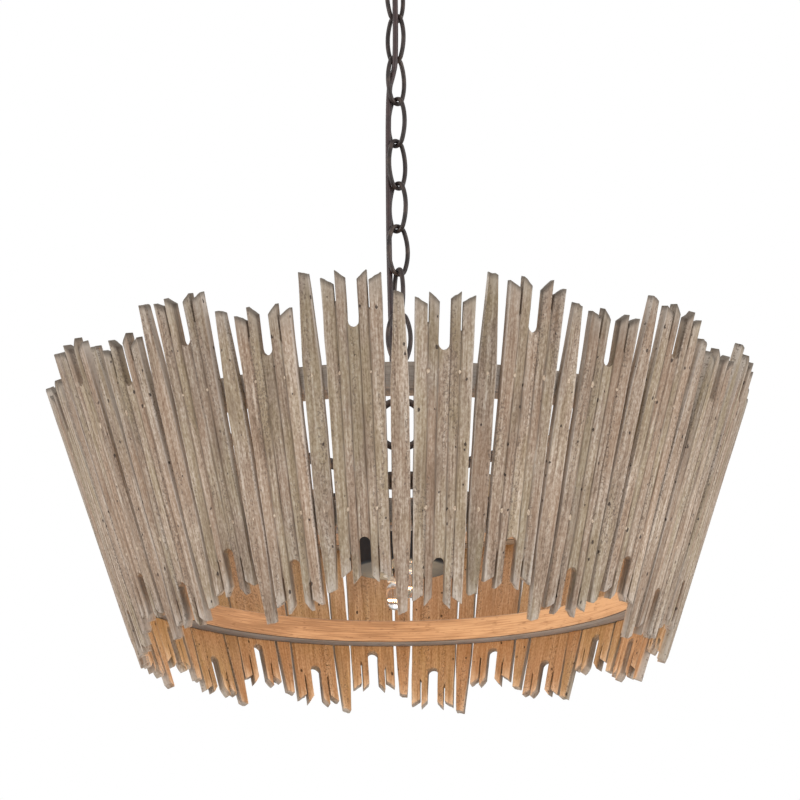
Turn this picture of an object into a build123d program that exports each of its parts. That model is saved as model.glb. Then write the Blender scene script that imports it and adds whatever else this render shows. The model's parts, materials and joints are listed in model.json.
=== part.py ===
from build123d import *
import math
import os

os.makedirs("parts", exist_ok=True)

# A round wooden chandelier. Weathered boards lean outwards around two wooden hoops. A steel spider under
# the upper hoop carries a ring that hangs by an oval-link chain from a ceiling canopy, with the supply
# cord run along the chain. Below the spider a lamp pan holds small push-in bulbs.
# Millimetres and degrees, +Z up. The origin is on the ceiling, at the middle of the crossbar.

# Driving dimensions: fits
running_gap = 0.3
thread_gap = 0.3

# Driving dimensions: ceiling canopy
canopy_radius = 63.5
canopy_depth = 26.0
canopy_wall = 1.2
canopy_round = 12.0
crossbar_length = 108.0
crossbar_width = 18.0
crossbar_thickness = 2.5
crossbar_corner = 4.5
crossbar_screw_spacing = 88.9
crossbar_screw_radius = 2.6
nipple_radius = 5.0
nipple_bore_radius = 3.5
nut_width = 16.0
nut_sides = 6
nut_height = 4.5
collar_radius = 11.0
collar_height = 8.0
collar_round = 1.6

# Driving dimensions: rings of the canopy loop and of the hub
loop_radius = 17.5
loop_wire_radius = 2.5
loop_boss_radius = 8.0
loop_boss_height = 12.0
hub_radius = 21.0
hub_wire_radius = 3.0
hub_boss_radius = 8.0
thread_depth = 10.0
cord_radius = 2.5
cord_clearance = 0.7
cord_crossing_link = 3
cord_crossing_clearance = 1.3
cord_lead = 6.5
cord_bend_share = 0.45

# Driving dimensions: chain
link_count = 10
link_pitch = 40.0
link_wire_radius = 2.0
link_half_width = 10.0
link_end_radius = 7.0
link_twist = 11.25
link_twist_most = 45.0

# Driving dimensions: shade of boards and hoops
bay_count = 26
shade_radius = 242.2
wall_angle = 19.1
board_thickness = 8.5
board_stagger = 8.5
hoop_height = 20.0
hoop_width = 24.0
upper_hoop_rise = 98.0
hub_rise = 146.5

panel_top_width = 46.5
panel_bottom_width = 38.0
panel_top = 183.7
panel_bottom = -58.8
panel_notch_width = 9.1
panel_top_notch_depth = 43.0
panel_bottom_notch_depth = 41.5
finger_share = 0.56
finger_step = 6.5
inner_finger_slant = 7.5
outer_finger_slant = 5.5
kerf_width = 1.4
kerf_depth = 23.0
groove_width = 1.1
groove_depth = 1.0

slat_width = 14.2
slat_top_width = 7.4
slat_bottom_width = 7.0
slat_top = 183.0
slat_bottom = -62.3
slat_top_taper = 70.0
slat_bottom_taper = 60.0

tip_unevenness = 1.8
width_unevenness = 0.3
wobble_rate = 2.4

brad_radius = 1.0
brad_length = 20.0
brad_sink = 0.4
brad_share = 0.28

# Driving dimensions: spider, stem and lamp pan
spider_thickness = 3.0
spider_arm_width = 18.0
spider_disc_radius = 26.0
spider_overlap = 16.0
spider_arm_count = 4
spider_turn = 45.0
wood_screw_radius = 2.0
wood_screw_length = 14.0
wood_screw_head_radius = 4.0
wood_screw_head_height = 2.5
pan_radius = 42.0
pan_rise = 18.4
pan_height = 34.0
pan_wall = 1.5
pan_round = 3.0
cover_thickness = 2.0
cap_radius = 8.0
cap_skirt = 2.0
stem_end_drop = 4.0
stem_slot_width = 3.0
stem_slot_height = 8.0
stem_slot_drop = 6.0

# Driving dimensions: sockets, leads and bulbs
lamp_count = 2
lamp_circle_radius = 24.0
lamp_first_angle = -75.0
socket_radius = 10.0
socket_height = 18.0
socket_flange_radius = 12.5
socket_flange_height = 2.0
pin_spacing = 9.0
pin_radius = 0.7
pin_length = 6.0
pin_hole_radius = 1.0
pin_hole_depth = 8.0
bulb_radius = 7.5
bulb_length = 24.0
bulb_tip_round = 7.1
bulb_base_length = 5.0
bulb_base_width = 12.5
bulb_base_depth = 5.0
lead_radius = 0.9
lead_bend_radius = 3.0
lead_offset = 1.7

# Heights worked out from the ceiling downwards
collar_bottom = -canopy_depth - collar_height
loop_boss_bottom = collar_bottom - loop_boss_height
loop_center_z = loop_boss_bottom - loop_radius
loop_wire_z = loop_center_z - loop_radius
link_length = link_pitch + running_gap
link_half_length = link_length / 2 + link_wire_radius
first_link_z = loop_wire_z + loop_wire_radius + link_wire_radius + running_gap - link_half_length
last_link_z = first_link_z - link_pitch * (link_count - 1)
hub_wire_z = last_link_z - link_half_length + link_wire_radius + hub_wire_radius + running_gap
hub_center_z = hub_wire_z - hub_radius
shade_z = hub_center_z - hub_rise
upper_hoop_z = shade_z + upper_hoop_rise
spider_bottom = upper_hoop_z - spider_thickness
pan_bottom = shade_z + pan_rise
pan_top = pan_bottom + pan_height
cover_top = pan_top + cover_thickness
socket_top = pan_bottom + socket_height

# The supply cord lies beside the chain, in the corner between the planes of neighbouring links
cord_reach = math.sqrt(2) * (link_wire_radius + cord_radius + cord_clearance)

wall_slope = math.tan(math.radians(wall_angle))
wall_cos = math.cos(math.radians(wall_angle))
wall_sin = math.sin(math.radians(wall_angle))
bay_angle = 360 / bay_count


def uneven(index, cut, amount):
    """A small repeatable difference between boards that are cut by hand, for one kind of cut."""
    return amount * math.sin(wobble_rate * (index + 1) ** 2 + cut)


tip_cut, foot_cut, top_notch_cut, bottom_notch_cut, width_cut = range(5)


def stagger(index):
    """Boards with an odd number sit high and those with an even number sit low."""
    return board_stagger if index % 2 else -board_stagger


def link_azimuth(step):
    """Direction of a link's plane, counted from the hub ring upwards: links cross, and the chain twists."""
    twist = min(link_twist * step, link_twist_most)
    return twist + (90 if step % 2 == 0 else 0)


def upright_plane(height, azimuth):
    """A vertical plane through the axis, whose X runs along the azimuth and whose Y runs up."""
    angle = math.radians(azimuth)
    across = (math.cos(angle), math.sin(angle), 0)
    normal = (math.sin(angle), -math.cos(angle), 0)
    return Plane(origin=(0, 0, height), x_dir=across, z_dir=normal)


def board_plane(angle):
    """Plane of a board's outer face: origin level with the lower hoop, X across and Y up the board."""
    turn = math.radians(angle)
    outward = (math.sin(turn), -math.cos(turn))
    origin = (shade_radius * outward[0], shade_radius * outward[1], shade_z)
    across = (math.cos(turn), math.sin(turn), 0)
    normal = (wall_cos * outward[0], wall_cos * outward[1], -wall_sin)
    return Plane(origin=origin, x_dir=across, z_dir=normal)


def slat_angle(index):
    """Where a slat stands round the shade, counted from the front."""
    return index * bay_angle


def panel_angle(index):
    """Where a panel stands round the shade, midway between two slats."""
    return (index + 1 / 2) * bay_angle


def panel_width_at(height):
    """Width of a panel at a height up the board, before its stagger."""
    share = (height - panel_bottom) / (panel_top - panel_bottom)
    return panel_bottom_width + share * (panel_top_width - panel_bottom_width)


# Brads go through the boards at the middle of each hoop
hoop_rises = (hoop_height / 2, upper_hoop_rise + hoop_height / 2)
brad_heights = [rise / wall_cos for rise in hoop_rises]
brad_hole_radius = brad_radius + running_gap


def panel_brad_points(index):
    """Where the brads of one panel stand on its outer face."""
    points = []
    for height in brad_heights:
        reach = brad_share * panel_width_at(height - stagger(index))
        points += [(-reach, height), (reach, height)]
    return points


def slat_brad_points():
    """Where the brads of one slat stand on its outer face."""
    return [(0, height) for height in brad_heights]


# Ceiling crossbar: a flat steel strap with a hole for each box screw and a middle hole for the nipple
with BuildPart() as crossbar:
    with BuildSketch(Plane.XY):
        RectangleRounded(crossbar_length, crossbar_width, crossbar_corner)
    extrude(amount=-crossbar_thickness)
    with GridLocations(crossbar_screw_spacing, 0, 2, 1):
        Hole(crossbar_screw_radius)
    Hole(nipple_radius + thread_gap)
crossbar.part.label = "crossbar"
export_step(crossbar.part, "parts/crossbar.step")

# Canopy: a spun steel dish that covers the ceiling box
with BuildPart() as canopy:
    Cylinder(canopy_radius, canopy_depth, align=(Align.CENTER, Align.CENTER, Align.MAX))
    fillet(canopy.edges().sort_by(Axis.Z)[0], canopy_round)
    offset(amount=-canopy_wall, openings=canopy.faces().sort_by(Axis.Z)[-1])
    with Locations((0, 0, -canopy_depth)):
        Hole(nipple_radius + thread_gap)
canopy.part.label = "canopy"
export_step(canopy.part, "parts/canopy.step")

# Threaded nipple: a short tube from the crossbar into the canopy loop
nipple_length = -collar_bottom + thread_depth
with BuildPart() as top_nipple:
    with BuildSketch(Plane.XY):
        Circle(nipple_radius)
        Circle(nipple_bore_radius, mode=Mode.SUBTRACT)
    extrude(amount=-nipple_length)
top_nipple.part.label = "top_nipple"
export_step(top_nipple.part, "parts/top_nipple.step")

# Locknut under the crossbar
with BuildPart() as top_nut:
    with BuildSketch(Plane.XY.offset(-crossbar_thickness)):
        RegularPolygon(nut_width / 2, nut_sides, major_radius=False)
        Circle(nipple_radius + thread_gap, mode=Mode.SUBTRACT)
    extrude(amount=-nut_height)
top_nut.part.label = "top_nut"
export_step(top_nut.part, "parts/top_nut.step")

# Screw collar: the round nut that draws the canopy up to the ceiling
with BuildPart() as screw_collar:
    with BuildSketch(Plane.XY.offset(-canopy_depth)):
        Circle(collar_radius)
        Circle(nipple_radius + thread_gap, mode=Mode.SUBTRACT)
    extrude(amount=-collar_height)
    outer_edges = screw_collar.edges().filter_by(GeomType.CIRCLE).sort_by(SortBy.RADIUS)[-2:]
    fillet(outer_edges, collar_round)
screw_collar.part.label = "screw_collar"
export_step(screw_collar.part, "parts/screw_collar.step")

# Canopy loop: a cast ring with a threaded boss above it and a way for the cord
with BuildPart() as canopy_loop:
    with Locations(upright_plane(loop_center_z, link_azimuth(link_count))):
        Torus(loop_radius, loop_wire_radius)
    with BuildSketch(Plane.XY.offset(collar_bottom)):
        Circle(loop_boss_radius)
    extrude(amount=-loop_boss_height - loop_wire_radius)
    with BuildSketch(Plane.XY.offset(collar_bottom)):
        Circle(nipple_radius + thread_gap)
    extrude(amount=-thread_depth - thread_gap, mode=Mode.SUBTRACT)
    with BuildSketch(Plane.XY.offset(collar_bottom)):
        Circle(nipple_bore_radius)
    extrude(amount=-loop_boss_height - loop_radius, mode=Mode.SUBTRACT)
canopy_loop.part.label = "canopy_loop"
export_step(canopy_loop.part, "parts/canopy_loop.step")

# Chain: oval links of bent wire, each made of four tangent arcs
end_center = link_half_length - link_end_radius
side_spare = link_half_width - link_end_radius
side_center = (end_center**2 - side_spare**2) / (2 * side_spare)
side_radius = link_half_width + side_center
tangent_angle = math.degrees(math.atan2(end_center, side_center))
end_sweep = 180 - 2 * tangent_angle

for number in range(1, link_count + 1):
    link_z = first_link_z - link_pitch * (number - 1)
    link_plane = upright_plane(link_z, link_azimuth(link_count - number))
    with BuildPart() as link:
        with BuildLine(link_plane) as oval:
            CenterArc((-side_center, 0), side_radius, -tangent_angle, 2 * tangent_angle)
            CenterArc((0, end_center), link_end_radius, tangent_angle, end_sweep)
            CenterArc((side_center, 0), side_radius, 180 - tangent_angle, 2 * tangent_angle)
            CenterArc((0, -end_center), link_end_radius, 180 + tangent_angle, end_sweep)
        with BuildSketch(Plane(oval.line ^ 0)):
            Circle(link_wire_radius)
        sweep(path=oval.wires()[0])
    link.part.label = f"link_{number:02d}"
    export_step(link.part, f"parts/link_{number:02d}.step")

# Hub ring: a cast ring facing front, on a boss that stands on the spider
hub_boss_height = hub_center_z - hub_radius - upper_hoop_z
with BuildPart() as hub_ring:
    with Locations(upright_plane(hub_center_z, 0)):
        Torus(hub_radius, hub_wire_radius)
    with BuildSketch(Plane.XY.offset(upper_hoop_z)):
        Circle(hub_boss_radius)
    extrude(amount=hub_boss_height + hub_wire_radius)
    with BuildSketch(Plane.XY.offset(upper_hoop_z)):
        Circle(nipple_radius + thread_gap)
    extrude(amount=thread_depth + thread_gap, mode=Mode.SUBTRACT)
    with BuildSketch(Plane.XY.offset(upper_hoop_z)):
        Circle(nipple_bore_radius)
    extrude(amount=hub_boss_height + hub_radius, mode=Mode.SUBTRACT)
hub_ring.part.label = "hub_ring"
export_step(hub_ring.part, "parts/hub_ring.step")

# Hoops: two solid wooden rings whose outer faces lean with the boards
board_depth = (board_thickness + running_gap) / wall_cos


def hoop_outer_radius(rise):
    """Outer radius of a hoop at a rise above the lower hoop's bottom edge."""
    return shade_radius + wall_slope * rise - board_depth


def hoop_inner_radius(bottom_rise):
    """Inner radius of the hoop that starts at a rise."""
    return hoop_outer_radius(bottom_rise + hoop_height / 2) - hoop_width


spider_screw_radius = hoop_inner_radius(upper_hoop_rise) + spider_overlap / 2
wood_screw_clearance = wood_screw_radius + running_gap
wood_screw_reach = wood_screw_length - spider_thickness

for name, bottom_rise in (("lower_hoop", 0), ("upper_hoop", upper_hoop_rise)):
    top_rise = bottom_rise + hoop_height
    inner = hoop_inner_radius(bottom_rise)
    with BuildPart() as hoop:
        with BuildSketch(Plane.XZ):
            with BuildLine():
                Polyline(
                    (inner, shade_z + bottom_rise),
                    (hoop_outer_radius(bottom_rise), shade_z + bottom_rise),
                    (hoop_outer_radius(top_rise), shade_z + top_rise),
                    (inner, shade_z + top_rise),
                    close=True,
                )
            make_face()
        revolve(axis=Axis.Z)
        level = brad_heights[bottom_rise > 0]
        for index in range(bay_count):
            with BuildSketch(board_plane(slat_angle(index))):
                with Locations(*[point for point in slat_brad_points() if point[1] == level]):
                    Circle(brad_hole_radius)
            with BuildSketch(board_plane(panel_angle(index))):
                with Locations(*[point for point in panel_brad_points(index) if point[1] == level]):
                    Circle(brad_hole_radius)
        extrude(amount=-brad_sink - brad_length - running_gap, mode=Mode.SUBTRACT)
        if bottom_rise > 0:
            with BuildSketch(Plane.XY.offset(upper_hoop_z)):
                with PolarLocations(spider_screw_radius, spider_arm_count, start_angle=spider_turn):
                    Circle(wood_screw_clearance)
            extrude(amount=wood_screw_reach + running_gap, mode=Mode.SUBTRACT)
    hoop.part.label = name
    export_step(hoop.part, f"parts/{name}.step")

# Panels: wide flat boards with slotted, slanted finger ends and grooves along both faces
notch_half = panel_notch_width / 2
finger_line = finger_share / 2


def panel_half_outline(index):
    """Right half of a panel, from the foot of the top notch round to the head of the bottom notch."""
    tip = panel_top + uneven(index, tip_cut, tip_unevenness)
    foot = panel_bottom + uneven(index, foot_cut, tip_unevenness)
    notch_foot = panel_top - panel_top_notch_depth + uneven(index, top_notch_cut, tip_unevenness)
    notch_head = panel_bottom + panel_bottom_notch_depth + uneven(index, bottom_notch_cut, tip_unevenness)
    top_half = panel_top_width / 2
    bottom_half = panel_bottom_width / 2
    top_kerf = finger_line * panel_top_width
    bottom_kerf = finger_line * panel_bottom_width
    with BuildLine() as outline:
        RadiusArc((0, notch_foot), (notch_half, notch_foot + notch_half), -notch_half)
        Polyline(
            (notch_half, notch_foot + notch_half),
            (notch_half, tip - inner_finger_slant),
            (top_kerf - kerf_width / 2, tip),
            (top_kerf - kerf_width / 2, panel_top - kerf_depth),
            (top_kerf + kerf_width / 2, panel_top - kerf_depth),
            (top_kerf + kerf_width / 2, tip - finger_step - outer_finger_slant),
            (top_half, tip - finger_step),
            (bottom_half, foot + finger_step),
            (bottom_kerf + kerf_width / 2, foot + finger_step + outer_finger_slant),
            (bottom_kerf + kerf_width / 2, panel_bottom + kerf_depth),
            (bottom_kerf - kerf_width / 2, panel_bottom + kerf_depth),
            (bottom_kerf - kerf_width / 2, foot),
            (notch_half, foot + inner_finger_slant),
            (notch_half, notch_head - notch_half),
        )
        RadiusArc((notch_half, notch_head - notch_half), (0, notch_head), -notch_half)
        Line((0, notch_head), (0, notch_foot))
    return outline.line


def groove_corners(side, top_line, bottom_line, top, bottom):
    """A thin upright groove between two places across the panel."""
    half = groove_width / 2
    return (
        (side * top_line - half, top),
        (side * top_line + half, top),
        (side * bottom_line + half, bottom),
        (side * bottom_line - half, bottom),
    )


for index in range(bay_count):
    face_plane = board_plane(panel_angle(index))
    raised_origin = face_plane.origin + face_plane.y_dir * stagger(index)
    raised = Plane(raised_origin, face_plane.x_dir, face_plane.z_dir)
    back_plane = raised.offset(-board_thickness)
    half_outline = panel_half_outline(index)
    with BuildPart() as panel:
        with BuildSketch(raised):
            with BuildLine():
                add(half_outline)
            make_face()
            mirror(about=Plane.YZ)
        extrude(amount=-board_thickness)
        for plane, way in ((raised, -1), (back_plane, 1)):
            with BuildSketch(plane):
                for side in (-1, 1):
                    kerf_top = panel_top - kerf_depth
                    kerf_bottom = panel_bottom + kerf_depth
                    kerf_line = (finger_line * panel_top_width, finger_line * panel_bottom_width)
                    with BuildLine():
                        Polyline(*groove_corners(side, *kerf_line, kerf_top, kerf_bottom), close=True)
                    make_face()
                    notch_foot = panel_top - panel_top_notch_depth
                    notch_head = panel_bottom + panel_bottom_notch_depth
                    with BuildLine():
                        Polyline(
                            *groove_corners(side, notch_half, notch_half, notch_foot, notch_head), close=True
                        )
                    make_face()
            extrude(amount=way * groove_depth, mode=Mode.SUBTRACT)
        with BuildSketch(face_plane):
            with Locations(*panel_brad_points(index)):
                Circle(brad_hole_radius)
        extrude(amount=-board_thickness, mode=Mode.SUBTRACT)
    panel.part.label = f"panel_{index + 1:02d}"
    export_step(panel.part, f"parts/panel_{index + 1:02d}.step")

# Slats: narrow single boards between the panels, tapered to both ends
for name, first in (("slats_low", 0), ("slats_high", 1)):
    with BuildPart() as slats:
        for index in range(first, bay_count, 2):
            top = slat_top + stagger(index) + uneven(index, tip_cut, tip_unevenness)
            bottom = slat_bottom + stagger(index) + uneven(index, foot_cut, tip_unevenness)
            half = (slat_width + uneven(index, width_cut, width_unevenness)) / 2
            with BuildSketch(board_plane(slat_angle(index))):
                with BuildLine():
                    Polyline(
                        (-slat_top_width / 2, top),
                        (slat_top_width / 2, top),
                        (half, top - slat_top_taper),
                        (half, bottom + slat_bottom_taper),
                        (slat_bottom_width / 2, bottom),
                        (-slat_bottom_width / 2, bottom),
                        (-half, bottom + slat_bottom_taper),
                        (-half, top - slat_top_taper),
                        close=True,
                    )
                make_face()
                with Locations(*slat_brad_points()):
                    Circle(brad_hole_radius, mode=Mode.SUBTRACT)
        extrude(amount=-board_thickness)
    slats.part.label = name
    export_step(slats.part, f"parts/{name}.step")

# Brads: thin headless nails that hold every board to both hoops
with BuildPart() as hoop_brads:
    for index in range(bay_count):
        for angle, points in (
            (slat_angle(index), slat_brad_points()),
            (panel_angle(index), panel_brad_points(index)),
        ):
            with BuildSketch(board_plane(angle).offset(-brad_sink)):
                with Locations(*points):
                    Circle(brad_radius)
    extrude(amount=-brad_length)
hoop_brads.part.label = "hoop_brads"
export_step(hoop_brads.part, "parts/hoop_brads.step")

# Spider: a flat steel cross under the upper hoop, with the hub boss standing on its middle. Its arms stand
# at a slant to the hub ring, so the ring's front and back stay open to the eye.
spider_reach = hoop_inner_radius(upper_hoop_rise) + spider_overlap
with BuildPart() as spider:
    with BuildSketch(Plane.XY.offset(spider_bottom)):
        with PolarLocations(0, spider_arm_count, start_angle=spider_turn):
            Rectangle(spider_reach, spider_arm_width, align=(Align.MIN, Align.CENTER))
        Circle(spider_disc_radius)
        Circle(nipple_radius + thread_gap, mode=Mode.SUBTRACT)
        with PolarLocations(spider_screw_radius, spider_arm_count, start_angle=spider_turn):
            Circle(wood_screw_clearance, mode=Mode.SUBTRACT)
    extrude(amount=spider_thickness)
spider.part.label = "spider"
export_step(spider.part, "parts/spider.step")

# Round-headed wood screws that hold the spider to the upper hoop
with BuildPart() as spider_screws:
    with BuildSketch(Plane.XY.offset(spider_bottom)):
        with PolarLocations(spider_screw_radius, spider_arm_count, start_angle=spider_turn):
            Circle(wood_screw_head_radius)
    extrude(amount=-wood_screw_head_height)
    with BuildSketch(Plane.XY.offset(spider_bottom)):
        with PolarLocations(spider_screw_radius, spider_arm_count, start_angle=spider_turn):
            Circle(wood_screw_radius)
    extrude(amount=wood_screw_length)
spider_screws.part.label = "spider_screws"
export_step(spider_screws.part, "parts/spider_screws.step")

# Stem: a threaded tube from the hub boss down through the lamp pan, with slots for the lamp leads
stem_top = upper_hoop_z + thread_depth
stem_bottom = pan_bottom - stem_end_drop
slot_top = pan_top - stem_slot_drop
with BuildPart() as stem:
    with BuildSketch(Plane.XY.offset(stem_bottom)):
        Circle(nipple_radius)
        Circle(nipple_bore_radius, mode=Mode.SUBTRACT)
    extrude(amount=stem_top - stem_bottom)
    with PolarLocations(nipple_radius, lamp_count, start_angle=lamp_first_angle):
        with Locations((0, 0, slot_top)):
            Box(
                2 * nipple_radius,
                stem_slot_width,
                stem_slot_height,
                align=(Align.CENTER, Align.CENTER, Align.MAX),
                mode=Mode.SUBTRACT,
            )
stem.part.label = "stem"
export_step(stem.part, "parts/stem.step")

# Nuts on the stem: one under the spider, one on the pan cover and a closed cap nut under the pan
with BuildPart() as stem_nuts:
    for seat, height in ((spider_bottom, -nut_height), (cover_top, nut_height)):
        with BuildSketch(Plane.XY.offset(seat)):
            RegularPolygon(nut_width / 2, nut_sides, major_radius=False)
            Circle(nipple_radius + thread_gap, mode=Mode.SUBTRACT)
        extrude(amount=height)
    with BuildSketch(Plane.XZ):
        with BuildLine():
            dome_center = (0, pan_bottom - cap_skirt)
            Polyline(
                (0, pan_bottom - cap_skirt - cap_radius),
                (0, pan_bottom),
                (cap_radius, pan_bottom),
                (cap_radius, pan_bottom - cap_skirt),
            )
            CenterArc(dome_center, cap_radius, 270, 90)
        make_face()
    revolve(axis=Axis.Z)
    with BuildSketch(Plane.XY.offset(pan_bottom)):
        Circle(nipple_radius + thread_gap)
    extrude(amount=stem_bottom - pan_bottom - thread_gap, mode=Mode.SUBTRACT)
stem_nuts.part.label = "stem_nuts"
export_step(stem_nuts.part, "parts/stem_nuts.step")

# Lamp pan: a spun steel cup whose floor holds the sockets
with BuildPart() as lamp_pan:
    with Locations((0, 0, pan_bottom)):
        Cylinder(pan_radius, pan_height, align=(Align.CENTER, Align.CENTER, Align.MIN))
    fillet(lamp_pan.edges().sort_by(Axis.Z)[0], pan_round)
    offset(amount=-pan_wall, openings=lamp_pan.faces().sort_by(Axis.Z)[-1])
    with BuildSketch(Plane.XY.offset(pan_bottom)):
        Circle(nipple_radius + thread_gap)
        with PolarLocations(lamp_circle_radius, lamp_count, start_angle=lamp_first_angle):
            Circle(socket_radius + running_gap)
    extrude(amount=pan_wall, mode=Mode.SUBTRACT)
lamp_pan.part.label = "lamp_pan"
export_step(lamp_pan.part, "parts/lamp_pan.step")

# Pan cover: a flat disc on the rim of the pan, clamped by the nut on the stem
with BuildPart() as pan_cover:
    with BuildSketch(Plane.XY.offset(pan_top)):
        Circle(pan_radius)
        Circle(nipple_radius + thread_gap, mode=Mode.SUBTRACT)
    extrude(amount=cover_thickness)
pan_cover.part.label = "pan_cover"
export_step(pan_cover.part, "parts/pan_cover.step")

# Sockets: ceramic bodies flush with the pan's underside, held by a flange on its floor
lamp_turn = 360 / lamp_count
with BuildPart() as lamp_sockets:
    with BuildSketch(Plane.XY.offset(pan_bottom)):
        with PolarLocations(lamp_circle_radius, lamp_count, start_angle=lamp_first_angle):
            Circle(socket_radius)
    extrude(amount=socket_height)
    with BuildSketch(Plane.XY.offset(pan_bottom + pan_wall)):
        with PolarLocations(lamp_circle_radius, lamp_count, start_angle=lamp_first_angle):
            Circle(socket_flange_radius)
    extrude(amount=socket_flange_height)
    with BuildSketch(Plane.XY.offset(pan_bottom)):
        with PolarLocations(lamp_circle_radius, lamp_count, start_angle=lamp_first_angle):
            with GridLocations(0, pin_spacing, 1, 2):
                Circle(pin_hole_radius)
    extrude(amount=pin_hole_depth, mode=Mode.SUBTRACT)
lamp_sockets.part.label = "lamp_sockets"
export_step(lamp_sockets.part, "parts/lamp_sockets.step")

# Bulbs: small glass capsules on a flat base with two push-in pins
bulb_top = pan_bottom - running_gap
glass_top = bulb_top - bulb_base_length
for number in range(1, lamp_count + 1):
    bulb_turn = math.radians(lamp_first_angle + lamp_turn * (number - 1))
    bulb_x = lamp_circle_radius * math.cos(bulb_turn)
    bulb_y = lamp_circle_radius * math.sin(bulb_turn)
    outward = (math.cos(bulb_turn), math.sin(bulb_turn), 0)
    bulb_plane = Plane(origin=(bulb_x, bulb_y, glass_top), x_dir=outward, z_dir=(0, 0, 1))
    with BuildPart() as bulb:
        with BuildSketch(bulb_plane):
            Circle(bulb_radius)
        extrude(amount=-bulb_length)
        fillet(bulb.edges().filter_by(GeomType.CIRCLE).sort_by(Axis.Z)[0], bulb_tip_round)
        with BuildSketch(bulb_plane):
            Rectangle(bulb_base_depth, bulb_base_width)
        extrude(amount=bulb_base_length)
        with BuildSketch(bulb_plane.offset(bulb_base_length)):
            with GridLocations(0, pin_spacing, 1, 2):
                Circle(pin_radius)
        extrude(amount=pin_length)
    bulb.part.label = f"bulb_{number}"
    export_step(bulb.part, f"parts/bulb_{number}.step")

# Lamp leads: one bent wire from the cord's end in the stem, out of a slot and down to each socket
lead_top = slot_top + lead_bend_radius
lead_run = slot_top - stem_slot_height / 2
with BuildPart() as lamp_leads:
    for number in range(lamp_count):
        lead_plane = upright_plane(0, lamp_first_angle + lamp_turn * number)
        with BuildLine(lead_plane) as route:
            FilletPolyline(
                (lead_offset, lead_top),
                (lead_offset, lead_run),
                (lamp_circle_radius, lead_run),
                (lamp_circle_radius, socket_top + running_gap),
                radius=lead_bend_radius,
            )
        with BuildSketch(Plane(route.line ^ 0)):
            Circle(lead_radius)
        sweep(path=route.wires()[0])
lamp_leads.part.label = "lamp_leads"
export_step(lamp_leads.part, "parts/lamp_leads.step")


# Supply cord: from the lamp leads up through the stem and hub ring, along the chain and into the nipple
def beside_chain(azimuth, height, reach=cord_reach):
    """A point beside the chain in one direction from its axis."""
    turn = math.radians(azimuth)
    return (reach * math.cos(turn), reach * math.sin(turn), height)


def joint_height(step):
    """Where a link meets the next one up, counted from the hub ring."""
    return hub_wire_z + link_pitch * step


cord_bottom = lead_top + running_gap
hub_floor = hub_center_z - hub_radius + hub_wire_radius
loop_ceiling = loop_center_z + loop_radius - loop_wire_radius
crossing_step = link_count - cord_crossing_link
crossing_z = joint_height(crossing_step) + link_pitch / 2
crossing_reach = link_half_width - link_wire_radius - cord_radius - cord_crossing_clearance
cord_points = [
    (0, 0, cord_bottom),
    (0, 0, hub_floor + hub_wire_radius),
    beside_chain(130, hub_wire_z - 3 * hub_wire_radius, cord_reach + cord_clearance),
    beside_chain(141, joint_height(1), cord_reach + cord_clearance),
    beside_chain(152, joint_height(2), cord_reach + cord_clearance),
    beside_chain(164, joint_height(3), cord_reach + cord_clearance),
    beside_chain(175, joint_height(4), cord_reach + cord_clearance),
    beside_chain(180, joint_height(crossing_step) + cord_lead),
    beside_chain(225, crossing_z, crossing_reach),
    beside_chain(270, joint_height(crossing_step + 1) - cord_lead),
    beside_chain(270, loop_wire_z + loop_wire_radius + 2 * link_wire_radius, cord_reach + cord_clearance),
    (0, 0, loop_ceiling - loop_wire_radius),
    (0, 0, -running_gap),
]


def bend_radii(points):
    """The largest radius that each corner's two runs leave room for."""
    radii = []
    for before, corner, after in zip(points, points[1:], points[2:]):
        run_in = Vector(corner) - Vector(before)
        run_out = Vector(after) - Vector(corner)
        half_turn = math.radians(run_in.get_angle(run_out)) / 2
        radii.append(cord_bend_share * min(run_in.length, run_out.length) / math.tan(half_turn))
    return radii


cord_radii = bend_radii(cord_points)
with BuildPart() as supply_cord:
    with BuildLine() as cord_route:
        FilletPolyline(*cord_points, radius=cord_radii)
    with BuildSketch(Plane(cord_route.line ^ 0)):
        Circle(cord_radius)
    sweep(path=cord_route.wires()[0])
supply_cord.part.label = "supply_cord"
export_step(supply_cord.part, "parts/supply_cord.step")

cord_length = cord_route.wires()[0].length
cord_section = math.pi * cord_radius**2
print("cord length", cord_length, "radii", [round(radius) for radius in cord_radii])
print("cord volume over section times length", supply_cord.part.volume / (cord_section * cord_length))
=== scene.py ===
import json
import math

import bmesh
import bpy
from mathutils import Matrix, Vector, noise


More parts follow.
